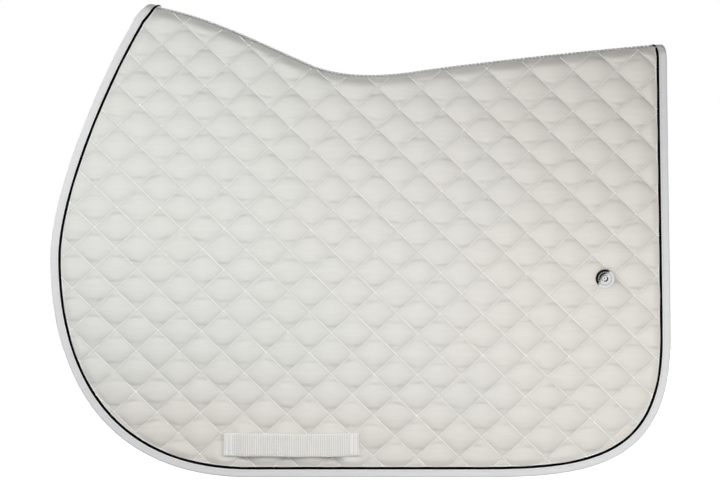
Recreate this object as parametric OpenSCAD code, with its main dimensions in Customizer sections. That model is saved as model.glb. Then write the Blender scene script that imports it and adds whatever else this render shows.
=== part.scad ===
// Quilted saddle pad, folded closed along its spine with the near flap on the -Y side.
// The frame has +X towards the rear, +Z up and its origin at the low point of the spine.
// Each half is a shell, wadding and a lining, with bound and piped edges. A layer that
// runs over the bend of a flap is two solids here: a strip at the spine and the flap.

/* [Outline] */
// From the spine's low point forward to the front edge at its fullest
front_reach = 338; // [310:1:370]
// Depth at which the front edge is at its fullest
front_depth = 200; // [180:1:220]
// From the spine's low point back to the rear edge
rear_reach = 339; // [310:1:370]
// From the spine's low point down to the bottom edge
drop = 439; // [410:1:470]
// From the spine's low point forward to the withers corner
withers_reach = 236; // [226:1:246]
// Height of the withers corner above the spine's low point
withers_rise = 78; // [68:1:88]
// From the spine's low point back to the rear top corner
croup_reach = 335; // [305:1:345]
// Height of the rear top corner above the spine's low point
croup_rise = 35; // [30:1:40]
// Depth of the line at which a flap bends away from the spine
bend_depth = 25; // [22:1:40]

/* [Layers] */
// Half of the gap between the two folded flaps
half_gap = 0.5; // [0.4:0.1:1]
// Thickness of the lining
lining_t = 1; // [0.6:0.1:1.5]
// Thickness of the wadding
wadding_t = 7; // [5:0.5:9]
// Thickness of the quilted outer shell
shell_t = 1; // [0.6:0.1:1.5]

/* [Quilting] */
// Width of a quilted diamond
diamond_w = 47.2; // [40:0.1:55]
// Height of a quilted diamond
diamond_h = 44.7; // [40:0.1:55]
// Width of a line of quilting thread
thread_w = 0.6; // [0.4:0.1:1]

/* [Edge trim] */
// Thickness of the binding tape
tape_t = 1; // [0.6:0.1:1.1]
// Width of the binding tape on each face
tape_w = 7.5; // [6:0.5:7.5]
// Radius of the cord inside the piping
cord_r = 1.4; // [1:0.1:1.6]
// Thickness of the piping's cover
cover_t = 0.4; // [0.3:0.05:0.5]
// Thickness of the overcast edge along the spine
spine_t = 1.2; // [1.1:0.1:1.5]
// How far the overcast edge reaches down each face
spine_leg = 5; // [3:0.5:7]

/* [Girth keeper] */
// Length of the webbing loop
keeper_l = 148; // [120:1:170]
// Width of the webbing
keeper_w = 25; // [20:1:30]
// Thickness of the webbing
keeper_t = 1.5; // [1:0.1:2]
// Clear height under the loop
keeper_stand = 5; // [5:0.5:8]
// Length sewn down at each end
keeper_end = 11; // [8:1:14]

/* [Badge] */
// Radius of the domed cap
badge_r = 10.5; // [9:0.5:12]
// Radius of the rivet's shank
post_r = 2; // [1.5:0.1:2.5]
// Beads in the ring around the cap
bead_count = 28; // [20:1:30]

/* [Hidden] */
$fn = 64;

cloth = [0.86, 0.86, 0.84];
tape = [0.9, 0.9, 0.9];
webbing = [0.93, 0.93, 0.92];
fill = [0.97, 0.97, 0.95];
black = [0.06, 0.06, 0.07];
chrome = [0.75, 0.76, 0.78];

// Depths are measured outward from the plane between the flaps.
lining_y = half_gap + tape_t;
wadding_y = lining_y + lining_t;
shell_y = wadding_y + wadding_t;
face_y = shell_y + shell_t;
flange_slit = 0.05;
trim_y = face_y + 2*cover_t + flange_slit;
piping_r = cord_r + cover_t;
piping_inset = tape_w + piping_r + 0.1;
flange_inset = 2;

// The flaps bend at this height, and a thin slit parts them from the strips at the spine.
bend_z = -bend_depth;
bend_slit = 0.5;

keeper_x = -75;
keeper_z = -403.5;
badge_x = 267;
badge_z = -222;

// The outline runs anticlockwise from the withers corner, as [x, z], in cubic curves.
withers = [-withers_reach, withers_rise];
front_full = [-front_reach, -front_depth];
bottom_front = [-120, -drop];
bottom_rear = [130, -drop];
rear_low = [rear_reach, -290];
croup = [croup_reach, croup_rise];
dip_rear = [62, 5];
dip_front = [-56, 13];
front_edge = [withers, withers + [-40, -61], front_full + [0, 77], front_full];
front_corner = [front_full, front_full - [0, 122], bottom_front - [164, 0], bottom_front];
rear_corner = [bottom_rear, bottom_rear + [115, 0], rear_low - [0, 141], rear_low];
rear_edge = [rear_low, rear_low + [0, 60], croup - [0, 65], croup];
spine_rear = [croup, croup - [66, 5], dip_rear + [60, 9], dip_rear];
spine_dip = [dip_rear, dip_rear - [48, 7], dip_front + [32, -14], dip_front];
spine_front = [dip_front, dip_front + [-62, 27], withers + [66, -10], withers];

function bezier(c, t) =
    pow(1 - t, 3)*c[0] + 3*pow(1 - t, 2)*t*c[1] + 3*(1 - t)*t*t*c[2] + pow(t, 3)*c[3];
function heading(c, t) =
    3*pow(1 - t, 2)*(c[1] - c[0]) + 6*(1 - t)*t*(c[2] - c[1]) + 3*t*t*(c[3] - c[2]);
function inward(c, t) = let (v = heading(c, t)) [-v[1], v[0]]/norm(v);

// A station is a point of the outline and the vector that insets it by one millimetre.
function station(c, t) = [bezier(c, t), inward(c, t)];
function level(c, t, z) = [[bezier(c, t)[0], z], [1/inward(c, t)[0], 0]];
function mitred(c, t, along) = [bezier(c, t), along/(inward(c, t)*along)];
function stretch(c, t0, t1, n) = [for (i = [1:n]) station(c, t0 + (t1 - t0)*i/n)];

// The curve parameter at a height, found by halving between one above and one below it.
function at_height(c, z, above, below, k = 24) =
    let (m = (above + below)/2)
    k == 0 ? m :
    bezier(c, m)[1] > z ? at_height(c, z, m, below, k - 1) : at_height(c, z, above, m, k - 1);

front_cut = at_height(front_edge, bend_z, 0, 1);
rear_cut = at_height(rear_edge, bend_z, 1, 0);
strip_z = bend_z + bend_slit/2;
flap_z = bend_z - bend_slit/2;

// The bound edge of a flap, from the bend at the front round the bottom to the rear bend
flap_path = concat(
    [level(front_edge, front_cut, flap_z)],
    stretch(front_edge, front_cut, 1, 7),
    stretch(front_corner, 0, 1, 12),
    [station(rear_corner, 0)],
    stretch(rear_corner, 0, 1, 12),
    stretch(rear_edge, 0, rear_cut*0.8, 3),
    [level(rear_edge, rear_cut, flap_z)]
);

// The bound edges above the bend, down from the withers and up to the croup
withers_path = concat(
    [mitred(front_edge, 0, -heading(spine_front, 1))],
    stretch(front_edge, 0, front_cut*0.8, 3),
    [level(front_edge, front_cut, strip_z)]
);
croup_path = concat(
    [level(rear_edge, rear_cut, strip_z)],
    stretch(rear_edge, rear_cut + 0.05, 0.95, 1),
    [mitred(rear_edge, 1, heading(spine_rear, 0))]
);

// The spine between the two bound corners, from rear to front
corner_clear = 13;
spine_start = corner_clear/norm(heading(spine_rear, 0));
spine_end = 1 - corner_clear/norm(heading(spine_front, 1));
spine_path = concat(
    [station(spine_rear, spine_start)],
    stretch(spine_rear, spine_start, 1, 6),
    stretch(spine_dip, 0, 1, 8),
    stretch(spine_front, 0, spine_end, 8)
);

// The layers and the piping end a little under the tape that crosses the spine there.
under_tape = 3;
function between(a, b, reach) =
    let (f = reach/norm(b[0] - a[0])) [a[0] + f*(b[0] - a[0]), a[1] + f*(b[1] - a[1])];
croup_last = len(croup_path) - 1;
strip_front = concat(
    [between(withers_path[0], withers_path[1], under_tape)],
    [for (i = [1:len(withers_path) - 1]) withers_path[i]]
);
strip_rear = concat(
    [for (i = [0:croup_last - 1]) croup_path[i]],
    [between(croup_path[croup_last], croup_path[croup_last - 1], under_tape)]
);

function inset(path, d) = [for (s = path) s[0] + d*s[1]];
function reversed(list) = [for (i = [len(list) - 1:-1:0]) list[i]];
function band(path, d0, d1) = concat(inset(path, d0), reversed(inset(path, d1)));

flap_outline = inset(flap_path, tape_t);
strip_outline = concat(
    inset(strip_front, tape_t),
    inset(strip_rear, tape_t),
    inset(spine_path, spine_t)
);

// A flat piece of the near flap, from one depth to another
module plate(points, d0, d1)
    translate([0, -d0, 0])
        rotate([90, 0, 0])
            linear_extrude(d1 - d0)
                polygon(points);

module both_sides() {
    children();
    mirror([0, 1, 0]) children();
}

module far_side() mirror([0, 1, 0]) children();

// Triangles that close the end of a convex section, and of a folded strip
function fan(n) = [for (i = [1:n - 2]) [0, i, i + 1]];
function folded(n) = [
    for (i = [0:n/2 - 2])
        for (f = [[i, i + 1, n - 2 - i], [i, n - 2 - i, n - 1 - i]])
            f
];

// A section of [inset, depth] points carried along a path
module sweep(path, section, cap) {
    n = len(section);
    last = (len(path) - 1)*n;
    points = [
        for (s = path)
            for (q = section)
                [s[0][0] + q[0]*s[1][0], -q[1], s[0][1] + q[0]*s[1][1]]
    ];
    start = [for (f = cap) reversed(f)];
    end = [for (f = cap) [for (i = f) last + i]];
    skin = [
        for (k = [0:n:last - n])
            for (i = [0:n - 1])
                let (a = k + i, b = k + (i + 1) % n)
                    for (f = [[a, b, b + n], [a, b + n, a + n]])
                        f
    ];
    polyhedron(points, concat(start, end, skin), convexity = 6);
}

// Binding tape: a channel over the raw edge, with the piping's flange under its outer leg
module tape_run(path) {
    plate(band(path, 0, tape_t), half_gap, trim_y + tape_t);
    plate(band(path, 0, tape_w), half_gap, half_gap + tape_t);
    plate(band(path, 0, tape_w), trim_y, trim_y + tape_t);
}

// The short stretch where the tape goes over the spine from one half to the other
module tape_crossing(c, t0, t1)
    plate(band([station(c, t0), station(c, t1)], 0, tape_t), -trim_y - tape_t, trim_y + tape_t);

bead_y = face_y + piping_r;
function ring_points(r, angles) =
    [for (a = angles) [piping_inset + r*cos(a), bead_y + r*sin(a)]];
upper_flange = face_y + cover_t + flange_slit;

// The cover is one strip folded round the cord, with both edges out under the tape.
cover_outside = concat(
    [[flange_inset, face_y]],
    ring_points(piping_r, [-90:45:180]),
    ring_points(piping_r, [205]),
    [[piping_inset - 0.9*piping_r, trim_y], [flange_inset, trim_y]]
);
cover_inside = concat(
    [[flange_inset, face_y + cover_t]],
    ring_points(cord_r, [-90:45:225]),
    [[piping_inset - 0.4*cord_r, upper_flange], [flange_inset, upper_flange]]
);
cover_section = concat(cover_outside, reversed(cover_inside));
cord_section = ring_points(cord_r, [-90:45:225]);

module cover_run(path) color(black) sweep(path, cover_section, folded(len(cover_section)));
module cord_run(path) color(webbing) sweep(path, cord_section, fan(len(cord_section)));

// The webbing loop seen from above: sewn flat at both ends and lifted in between
keeper_ramp = 14;
function smooth(u) = let (v = max(0, min(1, u))) v*v*(3 - 2*v);
function keeper_lift(x) =
    keeper_stand*smooth((x - keeper_end)/keeper_ramp)
    *smooth((keeper_l - keeper_end - x)/keeper_ramp);
keeper_steps = concat(
    [0],
    [for (i = [0:6]) keeper_end + keeper_ramp*i/6],
    [for (i = [0:6]) keeper_l - keeper_end - keeper_ramp*(1 - i/6)],
    [keeper_l]
);
keeper_under = [for (x = keeper_steps) [x, -face_y - keeper_lift(x)]];
keeper_over = [for (x = keeper_steps) [x, -face_y - keeper_t - keeper_lift(x)]];

module keeper()
    translate([keeper_x - keeper_l/2, 0, keeper_z - keeper_w/2])
        linear_extrude(keeper_w)
            polygon(concat(keeper_under, reversed(keeper_over)));

// Quilting thread lies on the shell in two crossing sets, one over the other, inside the
// piping. It stops where the keeper is sewn down and under the badge.
thread_t = 0.25;
thread_inset = piping_inset + piping_r + 0.1;
quilt_x = -170;
quilt_z = -55.5;
quilt_lines = 20;
thread_outline = inset(flap_path, thread_inset);
thread_outline_top = concat(
    inset(strip_front, thread_inset),
    inset(strip_rear, thread_inset),
    inset(spine_path, spine_leg + 0.1)
);

module thread_set(outline, slant, d0)
    intersection() {
        plate(outline, d0, d0 + thread_t);
        translate([0, -d0 + 1, 0])
            rotate([90, 0, 0])
                for (k = [-quilt_lines:quilt_lines])
                    translate([quilt_x + k*diamond_w, quilt_z, 0])
                        rotate([0, 0, slant*atan2(diamond_h, diamond_w)])
                            translate([-700, -thread_w/2, 0])
                                cube([1400, thread_w, 2]);
    }

module quilting(outline)
    color(tape)
        difference() {
            union() {
                thread_set(outline, -1, face_y);
                thread_set(outline, 1, face_y + thread_t);
            }
            for (end = [-1, 1])
                translate([keeper_x + end*(keeper_l - keeper_end)/2, -face_y, keeper_z])
                    cube([keeper_end + 1.5, 4, keeper_w + 1], center = true);
            at_badge(face_y - 1) cylinder(r = badge_r + 0.3, h = 4);
        }

// Two columns of satin bars across each sewn end
bar = [3.4, 0.4, 0.7];
bar_count = 20;
module keeper_stitching()
    for (end = [-1, 1], column = [0, 1], row = [0:bar_count - 1])
        translate([
            keeper_x + end*(keeper_l/2 - 3 - 4.6*column),
            -face_y - keeper_t - bar[1]/2,
            keeper_z + (row - (bar_count - 1)/2)*1.15
        ])
            cube(bar, center = true);

// Places a shape drawn along +Z on the outer face of the near flap
module at_badge(depth)
    translate([badge_x, -depth, badge_z]) rotate([90, 0, 0]) children();

washer_r = 8;
washer_t = 0.8;
head_r = 3.2;
head_t = 0.6;
rivet_play = 0.1;
pocket_depth = washer_t + head_t + 0.1;

module spine_binding()
    color(tape) {
        plate(band(spine_path, 0, spine_t), -face_y - tape_t, face_y + tape_t);
        both_sides()
            plate(band(spine_path, spine_t - 0.1, spine_leg), face_y, face_y + tape_t);
    }

module withers_binding()
    color(tape) {
        tape_crossing(spine_front, 1 - tape_w/norm(heading(spine_front, 1)), 1);
        both_sides() tape_run(withers_path);
    }

module croup_binding()
    color(tape) {
        tape_crossing(spine_rear, 0, tape_w/norm(heading(spine_rear, 0)));
        both_sides() tape_run(croup_path);
    }

module top_piping_cover()
    both_sides() {
        cover_run(strip_front);
        cover_run(strip_rear);
    }

module top_piping_cord()
    both_sides() {
        cord_run(strip_front);
        cord_run(strip_rear);
    }

module shell_top() color(cloth) plate(strip_outline, shell_y, face_y);
module wadding_top() color(fill) plate(strip_outline, wadding_y, shell_y);
module lining_top() color(tape) plate(strip_outline, lining_y, wadding_y);

module shell() color(cloth) plate(flap_outline, shell_y, face_y);
module wadding() color(fill) plate(flap_outline, wadding_y, shell_y);
module lining() color(tape) plate(flap_outline, lining_y, wadding_y);
module binding() color(tape) tape_run(flap_path);

// The near shell has the rivet's hole, and the wadding behind it a pocket for the washer.
module left_shell()
    color(cloth)
        difference() {
            shell();
            at_badge(shell_y - 1) cylinder(r = post_r + rivet_play, h = shell_t + 2);
        }

module left_wadding()
    color(fill)
        difference() {
            wadding();
            at_badge(shell_y - pocket_depth) cylinder(r = washer_r + 0.5, h = pocket_depth + 1);
        }

// A domed cap: rolled rim, ring of beads in a shallow groove, and a plain raised boss
rim_r = 0.9;
bead_r = 0.65;
module badge_cap()
    color(chrome)
        at_badge(face_y) {
            rotate_extrude()
                polygon(concat(
                    [[0, 0], [badge_r - rim_r, 0]],
                    [for (a = [-90:15:120]) [badge_r - rim_r + rim_r*cos(a), rim_r + rim_r*sin(a)]],
                    [[badge_r - 2.2, 1.3], [badge_r - 4.4, 1.5]],
                    [for (a = [10:10:80]) [(badge_r - 4.9)*cos(a), 1.6 + 2*sin(a)]],
                    [[0, 3.6]]
                ));
            for (i = [0:bead_count - 1])
                rotate([0, 0, 360*i/bead_count])
                    translate([badge_r - 3.2, 0, 1.5])
                        sphere(r = bead_r, $fn = 24);
        }

module badge_rivet()
    color(chrome)
        at_badge(shell_y - washer_t - head_t) {
            cylinder(r = head_r, h = head_t);
            cylinder(r = post_r, h = head_t + washer_t + shell_t);
        }

module badge_washer()
    color(chrome)
        at_badge(shell_y - washer_t)
            difference() {
                cylinder(r = washer_r, h = washer_t);
                translate([0, 0, -1]) cylinder(r = post_r + rivet_play, h = washer_t + 2);
            }

spine_binding();
withers_binding();
croup_binding();
top_piping_cover();
top_piping_cord();
shell_top();  // left_shell_top
wadding_top();  // left_wadding_top
lining_top();  // left_lining_top
quilting(thread_outline_top);  // left_quilting_thread_top
far_side() shell_top();  // right_shell_top
far_side() wadding_top();  // right_wadding_top
far_side() lining_top();  // right_lining_top
far_side() quilting(thread_outline_top);  // right_quilting_thread_top
left_shell();
left_wadding();
lining();  // left_lining
quilting(thread_outline);  // left_quilting_thread
binding();  // left_binding
cover_run(flap_path);  // left_piping_cover
cord_run(flap_path);  // left_piping_cord
color(webbing) keeper();  // left_girth_keeper
color(webbing) keeper_stitching();  // left_keeper_stitching
far_side() shell();  // right_shell
far_side() wadding();  // right_wadding
far_side() lining();  // right_lining
far_side() quilting(thread_outline);  // right_quilting_thread
far_side() binding();  // right_binding
far_side() cover_run(flap_path);  // right_piping_cover
far_side() cord_run(flap_path);  // right_piping_cord
color(webbing) far_side() keeper();  // right_girth_keeper
color(webbing) far_side() keeper_stitching();  // right_keeper_stitching
badge_cap();
badge_rivet();
badge_washer();
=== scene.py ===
"""Looks of a quilted saddle pad, folded along its spine and hung with the near flap towards the camera.

Lengths in this script are millimetres in the row frame until a mesh is made, which is in metres.
A depth is a distance outward from the plane between the two flaps: near side -Y, far side +Y.
"""

import math

import bpy
import numpy as np
from mathutils import Matrix, Vector


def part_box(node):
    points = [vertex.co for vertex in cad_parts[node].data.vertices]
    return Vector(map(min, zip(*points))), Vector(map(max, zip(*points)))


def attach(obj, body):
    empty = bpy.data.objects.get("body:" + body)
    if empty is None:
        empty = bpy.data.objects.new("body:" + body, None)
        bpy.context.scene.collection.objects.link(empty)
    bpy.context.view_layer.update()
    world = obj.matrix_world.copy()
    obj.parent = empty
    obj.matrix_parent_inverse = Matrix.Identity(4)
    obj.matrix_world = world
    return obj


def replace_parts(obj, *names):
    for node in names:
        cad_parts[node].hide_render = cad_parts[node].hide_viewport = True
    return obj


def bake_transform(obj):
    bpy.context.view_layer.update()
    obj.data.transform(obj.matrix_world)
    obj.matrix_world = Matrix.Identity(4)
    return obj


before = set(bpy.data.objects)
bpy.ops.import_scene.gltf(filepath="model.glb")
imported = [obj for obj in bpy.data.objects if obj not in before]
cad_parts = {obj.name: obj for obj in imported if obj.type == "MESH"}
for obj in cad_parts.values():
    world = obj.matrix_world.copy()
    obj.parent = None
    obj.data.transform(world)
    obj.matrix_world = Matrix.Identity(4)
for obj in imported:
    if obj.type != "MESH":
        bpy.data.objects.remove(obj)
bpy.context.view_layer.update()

MM = 0.001
SIDES = {"left": -1, "right": 1}


def smooth(u):
    """0 below 0, 1 above 1, and an even curve between."""
    v = np.clip(u, 0, 1)
    return v * v * (3 - 2 * v)


# ---------------- the frame's sizes, in mm


def low(node):
    return np.array(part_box(node)[0]) / MM


def high(node):
    return np.array(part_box(node)[1]) / MM


def highest_point(node):
    """[x, z] of the topmost corner of a CAD node."""
    co = np.array([v.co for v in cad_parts[node].data.vertices]) / MM
    top = co[np.argmax(co[:, 2])]
    return top[[0, 2]]


WITHERS = highest_point("withers_binding")
CROUP = highest_point("croup_binding")
FRONT_X = low("left_binding")[0]
REAR_X = high("left_binding")[0]
BOTTOM_Z = low("left_binding")[2]
FACE = -low("left_shell")[1]
INSIDE = -high("left_lining")[1]
MIDDLE = (FACE + INSIDE) / 2

# ---------------- outline, the CAD's cubic curves


def bezier(c, count):
    """Points along a cubic curve, its last point left out."""
    t = np.linspace(0, 1, count, endpoint=False)[:, None]
    c = np.array(c, float)
    return (
        (1 - t) ** 3 * c[0] + 3 * (1 - t) ** 2 * t * c[1] + 3 * (1 - t) * t * t * c[2] + t**3 * c[3]
    )


def off(point, dx, dz):
    return np.array(point, float) + (dx, dz)


def unit(v):
    v = np.array(v, float)
    return v / np.linalg.norm(v)


def past(corner, line, back):
    """The part of a line that is further than back from a corner."""
    return line[np.linalg.norm(line - corner, axis=1) > back]


def folded_corner(corner, up, over, back, rise, hold, end, drop):
    """Where the bound edge turns in over the fold: from a place on the edge, back below the corner,
    to its crossing of the fold, end along the spine and drop under it. rise and hold are how far the
    curve keeps to each direction."""
    start = corner - back * up
    finish = corner + end * over + (0, -drop)
    return [start, start + rise * up, finish - hold * over, finish]


front_full = (FRONT_X, -200)
bottom_front = (-120, BOTTOM_Z)
bottom_rear = (130, BOTTOM_Z)
rear_low = (REAR_X, -290)
dip_rear = (62, 5)
dip_front = (-56, 13)
front_up = unit((40, 61))
front_over = unit((66, -13))
rear_up = unit((0, 1))
rear_over = unit((-66, -5))
FRONT_BACK = 20
REAR_BACK = 18.5
front_corner = folded_corner(
    WITHERS, front_up, front_over, FRONT_BACK, rise=4.5, hold=5, end=6.5, drop=0.3
)
rear_corner = folded_corner(
    CROUP, rear_up, rear_over, REAR_BACK, rise=9.5, hold=3, end=4.5, drop=2.5
)
FRONT_CROSSING = front_corner[3]
REAR_CROSSING = rear_corner[3]
shoulder = bezier([WITHERS, off(WITHERS, -40, -61), off(front_full, 0, 77), front_full], 150)
rump = bezier([rear_low, off(rear_low, 0, 60), off(CROUP, 0, -65), CROUP], 150)
bound_edge = np.vstack([
    bezier(front_corner[::-1], 60),
    past(WITHERS, shoulder, FRONT_BACK),
    bezier([front_full, off(front_full, 0, -122), off(bottom_front, -164, 0), bottom_front], 180),
    bezier([bottom_front, off(bottom_front, 80, 0), off(bottom_rear, -80, 0), bottom_rear], 110),
    bezier([bottom_rear, off(bottom_rear, 115, 0), off(rear_low, 0, -141), rear_low], 150),
    past(CROUP, rump, REAR_BACK),
    bezier(rear_corner, 60),
    [REAR_CROSSING],
])
spine_edge = np.vstack([
    bezier([CROUP, off(CROUP, -66, -5), off(dip_rear, 60, 9), dip_rear], 110),
    bezier([dip_rear, off(dip_rear, -48, -7), off(dip_front, 32, -14), dip_front], 60),
    bezier([dip_front, off(dip_front, -62, 27), off(WITHERS, 66, -10), WITHERS], 90),
    [WITHERS],
])


def resample(line, step):
    """The line with points an even step apart."""
    gaps = np.linalg.norm(np.diff(line, axis=0), axis=1)
    run = np.concatenate([[0], np.cumsum(gaps)])
    at = np.linspace(0, run[-1], int(round(run[-1] / step)) + 1)
    return np.stack([np.interp(at, run, line[:, k]) for k in range(line.shape[1])], 1)


def headings(line):
    d = np.gradient(line, axis=0)
    return d / np.linalg.norm(d, axis=1)[:, None]


def inward(line):
    """Unit vectors towards the inside of an anticlockwise outline."""
    h = headings(line)
    return np.stack([-h[:, 1], h[:, 0]], 1)


def nearest(line, points):
    """Distance from each point to a line, and the index of the line's point nearest to it."""
    best = np.empty(len(points))
    index = np.empty(len(points), int)
    for k in range(0, len(points), 4000):
        part = points[k : k + 4000]
        d2 = ((part[:, None, :] - line[None, :, :]) ** 2).sum(2)
        index[k : k + 4000] = d2.argmin(1)
        best[k : k + 4000] = np.sqrt(d2.min(1))
    return best, index


# For distances, the bound edge runs on upward past each crossing of the fold
LINE_STEP = 2.0
RUN_ON = (0, 20)
edge_line = resample(
    np.vstack([FRONT_CROSSING + RUN_ON, bound_edge, REAR_CROSSING + RUN_ON]), LINE_STEP
)
spine_line = resample(spine_edge, LINE_STEP)
edge_normal = inward(edge_line)
spine_normal = inward(spine_line)
NEAR_LINE = 6


def inset(points, line, normal):
    """Signed distances of [x, z] points inside one edge, and the way inward at each. Close to the
    edge they are measured square to it, which is smoother than to its nearest point."""
    away, k = nearest(line, points)
    depth = ((points - line[k]) * normal[k]).sum(1)
    return np.where(away > NEAR_LINE, np.copysign(away, depth), depth), normal[k]


# Distances to both edges are worked out once, on a grid a little larger than the pad
FIELD_STEP = 3.0
FIELD_MARGIN = 20
FIELD_TOP = 100
FIELD_ORIGIN = np.array([FRONT_X - FIELD_MARGIN, BOTTOM_Z - FIELD_MARGIN])
FIELD_END = np.array([REAR_X + FIELD_MARGIN, FIELD_TOP])
FIELD_SHAPE = tuple(((FIELD_END - FIELD_ORIGIN) / FIELD_STEP).astype(int) + 1)
field_points = FIELD_ORIGIN + FIELD_STEP * np.indices(FIELD_SHAPE).reshape(2, -1).T
FIELDS = [
    inset(field_points, line, normal)[0].reshape(FIELD_SHAPE)
    for line, normal in ((edge_line, edge_normal), (spine_line, spine_normal))
]


def margins(points):
    """Signed distances of [x, z] points inside the bound edge and under the spine."""
    at = (points - FIELD_ORIGIN) / FIELD_STEP
    cell = np.clip(at.astype(int), 0, np.array(FIELD_SHAPE) - 2)
    i, j = cell.T
    u, v = np.clip(at - cell, 0, 1).T
    return tuple(
        (1 - u) * (1 - v) * f[i, j] + u * (1 - v) * f[i + 1, j]
        + (1 - u) * v * f[i, j + 1] + u * v * f[i + 1, j + 1]
        for f in FIELDS
    )


# ---------------- quilting

# One crossing of the seams, and the steps to the next ones along the pad and down it
CROSSING = np.array([-169.7, -55.6])
ACROSS = np.array([47.25, -0.62])
DOWN = np.array([-0.65, -44.7])
P_AXIS = (ACROSS + DOWN) / 2
Q_AXIS = (ACROSS - DOWN) / 2
CELLS = 40
HALF_HIGH = -DOWN[1] / 2
SEAM_GAP = abs(P_AXIS[0] * Q_AXIS[1] - P_AXIS[1] * Q_AXIS[0]) / np.linalg.norm(Q_AXIS)
# How strongly a seam's painted shade darkens the cloth, and how far from the seam that reaches
SEAM_SHADE = 0.6
SEAM_SPREAD = 5.0

# Heights off a half's middle: a diamond's mound over its seams, the seams, and a crease's depth
PUFF = 3.4
LINING_PUFF = 0.75 * PUFF
VALLEY = 2.0
MOUND_POWER = 0.62
CREASE = 1.0
CREASE_HALF_WIDE = 1.4
CREASE_HALF_LONG = 7.5
CREASE_BOW = 0.018
# Half thickness of the flattened cloth at the bound edge and at the spine
EDGE_HALF = 1.5
SPINE_HALF = 0.7
RIM_FLAT, RIM_RISE = 1.5, 6
# Where the mounds start inside each edge, and over what distance they reach full height
EDGE_FLAT, EDGE_RISE = 8.5, 11
SPINE_FLAT, SPINE_RISE = 3.0, 10
# Each half's middle closes to PINCH from the fold's plane over FOLD_REACH below the spine
PINCH = 0.9
FOLD_REACH = 15
TAPE_W = 8.0
PIPING_IN = 10.1
PIPING_R = 1.65
SPINE_TRIM = 2.6


def to_lattice(points):
    m = np.linalg.inv(np.stack([P_AXIS, Q_AXIS], 1))
    return (points - CROSSING) @ m.T


def from_lattice(pq):
    return CROSSING + pq @ np.stack([P_AXIS, Q_AXIS])


def middle_depth(under_spine):
    """Depth of a half's middle: the halves draw together where they meet at the spine."""
    u = np.clip(under_spine / FOLD_REACH, 0, 1)
    return PINCH + (MIDDLE - PINCH) * (1 - (1 - u) ** 2)


class Quilt:
    """One quilted face: how far it stands off the middle of its half, with each diamond its own."""

    def __init__(self, seed, puff):
        rng = np.random.default_rng(seed)
        shape = (2 * CELLS, 2 * CELLS)
        self.puff = puff
        self.swell = rng.uniform(0.92, 1.08, shape)
        self.lean = rng.uniform(-0.12, 0.12, shape + (2,))
        self.fold = rng.uniform(0.3, 1, shape + (2,))
        self.fold_at = rng.uniform(0.52, 0.7, shape + (2,))
        self.fold_tilt = rng.uniform(-0.1, 0.1, shape + (2,))
        self.sag = rng.uniform(-0.3, 1.2, shape + (2,))
        self.fold_side = rng.uniform(-4.5, 4.5, shape + (2,))

    def relief(self, points, pq):
        """Share of each diamond's full height, depth of its creases from 0 to 1, distance to a seam
        and the diamond's own swell."""
        cell = np.floor(pq + 1e-9).astype(int)
        f = pq - cell
        i, j = cell[:, 0] % (2 * CELLS), cell[:, 1] % (2 * CELLS)
        lean = self.lean[i, j]
        u = np.clip(f[:, 0] + lean[:, 0] * f[:, 0] * (1 - f[:, 0]), 0, 1)
        v = np.clip(f[:, 1] + lean[:, 1] * f[:, 1] * (1 - f[:, 1]), 0, 1)
        mound = np.abs(np.sin(math.pi * u) * np.sin(math.pi * v)) ** MOUND_POWER
        centre = from_lattice(cell + 0.5)
        rel = points - centre
        creases = np.zeros(len(points))
        for k, up in ((0, -1), (1, 1)):
            at = up * self.fold_at[i, j, k] * HALF_HIGH
            arc = -up * self.sag[i, j, k] * CREASE_BOW * rel[:, 0] ** 2
            z = (rel[:, 1] - at - arc - self.fold_tilt[i, j, k] * rel[:, 0]) / CREASE_HALF_WIDE
            along = (rel[:, 0] - self.fold_side[i, j, k]) / CREASE_HALF_LONG
            fade = np.exp(-(along**2)) * smooth(mound * 4)
            creases += self.fold[i, j, k] * np.exp(-z * z) * fade
        seam = np.minimum(f, 1 - f).min(1) * SEAM_GAP
        return mound, creases, seam, self.swell[i, j]

    def groove(self, points, pq):
        """How deep a place lies in a seam or crease, from 0 to 1: the mask for painted shade in the
        cloth's colour.
        """
        _, creases, seam, _ = self.relief(points, pq)
        return np.clip(SEAM_SHADE * np.exp(-seam / SEAM_SPREAD) + creases, 0, 1)

    def stand(self, points, pq, edge_in, under):
        """Height of the face off the half's middle."""
        mound, creases, _, swell = self.relief(points, pq)
        full = smooth((edge_in - EDGE_FLAT) / EDGE_RISE) * smooth((under - SPINE_FLAT) / SPINE_RISE)
        rim = SPINE_HALF + (EDGE_HALF - SPINE_HALF) * smooth((under - RIM_FLAT) / RIM_RISE)
        base = rim + (VALLEY - rim) * full
        return base + full * (self.puff * swell * mound - CREASE * creases)


def centre_of(node):
    return (low(node) + high(node)) / 2


KEEPER_LOW = low("left_girth_keeper")
KEEPER_HIGH = high("left_girth_keeper")
KEEPER_LONG, _, KEEPER_WIDE = KEEPER_HIGH - KEEPER_LOW
KEEPER_END = 11
BADGE = centre_of("badge_cap")
# Where something is fastened down: the centre and half size of a flat patch, and its depth. The
# cloth comes back up over PRESS_FADE around it.
PRESS_LEVEL = 9.2
PRESS_FADE = 8
PRESSES = [
    (
        np.array([x, (KEEPER_LOW[2] + KEEPER_HIGH[2]) / 2]),
        np.array([KEEPER_END, KEEPER_WIDE]) / 2,
        PRESS_LEVEL,
    )
    for x in (KEEPER_LOW[0] + KEEPER_END / 2, KEEPER_HIGH[0] - KEEPER_END / 2)
]
BADGE_SEAT = 5.0
BADGE_SINK = 0.4
BADGE_PRESS = (BADGE[[0, 2]], np.array([BADGE_SEAT, BADGE_SEAT]), FACE - BADGE_SINK)
SHELL = {"left": Quilt(11, PUFF), "right": Quilt(23, PUFF)}
LINING = {"left": Quilt(37, LINING_PUFF), "right": Quilt(41, LINING_PUFF)}


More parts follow.
